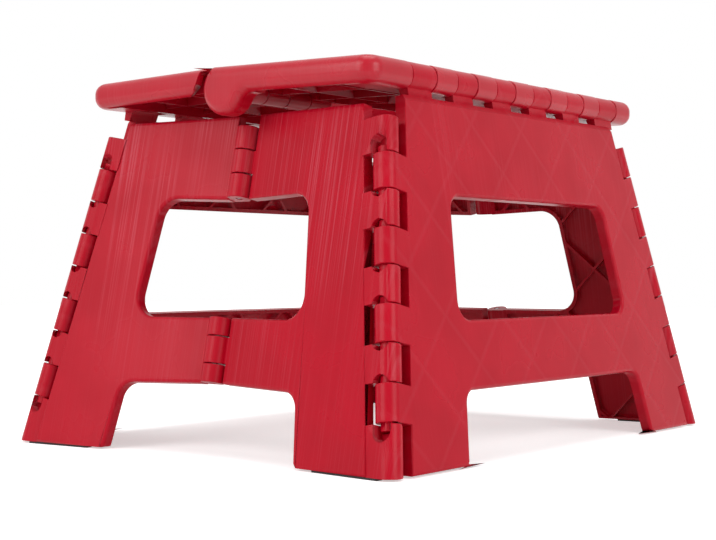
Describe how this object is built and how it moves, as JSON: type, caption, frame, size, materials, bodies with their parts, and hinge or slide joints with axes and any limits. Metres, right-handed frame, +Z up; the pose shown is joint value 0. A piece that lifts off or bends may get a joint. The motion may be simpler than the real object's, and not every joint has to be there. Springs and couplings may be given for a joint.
{
  "type": "folding step stool",
  "caption": "Low plastic folding step stool: two seat halves hinged to two end panels, with sides that fold inwards in the middle.",
  "frame": {"origin": "on the floor, below the middle of the seat, at the centre of the bounding box", "axes": "+Z up, +X across the fold towards the right end panel, +Y along the seat's centre hinge towards the back side"},
  "size_m": [0.2856, 0.3496, 0.2209],
  "materials": {
    "end_panel": "semi-gloss moulded red plastic",
    "side_panel": "semi-gloss moulded red plastic",
    "seat": "semi-gloss moulded red plastic",
    "hinge_rod": "plain drawn wire",
    "foot_pad": "matt black rubber"
  },
  "bodies": {
    "end_right": {"end_panel_right": "end_panel"},
    "seat_right": {"seat_half_right": "seat", "seat_end_rod_right": "hinge_rod", "seat_centre_rod_front": "hinge_rod", "seat_centre_rod_back": "hinge_rod"},
    "seat_left": {"seat_half_left": "seat", "seat_end_rod_left": "hinge_rod"},
    "side_front_right": {"side_panel_front_right": "side_panel", "foot_pad_front_right": "foot_pad"},
    "side_front_left": {"side_panel_front_left": "side_panel", "foot_pad_front_left": "foot_pad", "middle_pin_front_upper": "hinge_rod", "middle_pin_front_lower": "hinge_rod"},
    "end_left": {"end_panel_left": "end_panel"},
    "side_back_right": {"side_panel_back_right": "side_panel", "foot_pad_back_right": "foot_pad", "middle_pin_back_upper": "hinge_rod", "middle_pin_back_lower": "hinge_rod"},
    "side_back_left": {"side_panel_back_left": "side_panel", "foot_pad_back_left": "foot_pad"}
  },
  "joints": [
    {"name": "seat_end_hinge_right", "type": "hinge", "parent": "end_right", "child": "seat_right", "pos_m": [0.10105, 0, 0.2108], "axis": [0, 1, 0], "range_deg": [0, 78.15]},
    {"name": "seat_centre_hinge", "type": "hinge", "parent": "seat_right", "child": "seat_left", "pos_m": [0, 0, 0.20782], "axis": [0, -1, 0], "range_deg": [0, 165]},
    {"name": "corner_hinge_front_right", "type": "hinge", "parent": "end_right", "child": "side_front_right", "pos_m": [0.136, -0.168, 0], "axis": [0.1718, -0.2122, -0.962], "range_deg": [0, 79.91]},
    {"name": "middle_hinge_front", "type": "hinge", "parent": "side_front_right", "child": "side_front_left", "pos_m": [0, -0.161, 0], "axis": [0, 0.2068, 0.9784], "range_deg": [0, 155.94]},
    {"name": "corner_hinge_front_left", "type": "hinge", "parent": "side_front_left", "child": "end_left", "pos_m": [-0.136, -0.168, 0], "axis": [-0.1718, -0.2122, -0.962], "range_deg": [0, 79.91]},
    {"name": "corner_hinge_back_right", "type": "hinge", "parent": "end_right", "child": "side_back_right", "pos_m": [0.136, 0.168, 0], "axis": [-0.1718, -0.2122, 0.962], "range_deg": [0, 79.91]},
    {"name": "corner_hinge_back_left", "type": "hinge", "parent": "end_left", "child": "side_back_left", "pos_m": [-0.136, 0.168, 0], "axis": [-0.1718, 0.2122, -0.962], "range_deg": [0, 79.91]}
  ],
  "couplings": [
    {"joint": "seat_end_hinge_right", "follows": "seat_centre_hinge", "ratio": 0.4735},
    {"joint": "corner_hinge_front_right", "follows": "seat_centre_hinge", "ratio": 0.4842},
    {"joint": "middle_hinge_front", "follows": "seat_centre_hinge", "ratio": 0.945},
    {"joint": "corner_hinge_front_left", "follows": "seat_centre_hinge", "ratio": 0.4842},
    {"joint": "corner_hinge_back_right", "follows": "seat_centre_hinge", "ratio": 0.4842},
    {"joint": "corner_hinge_back_left", "follows": "seat_centre_hinge", "ratio": 0.4842}
  ]
}
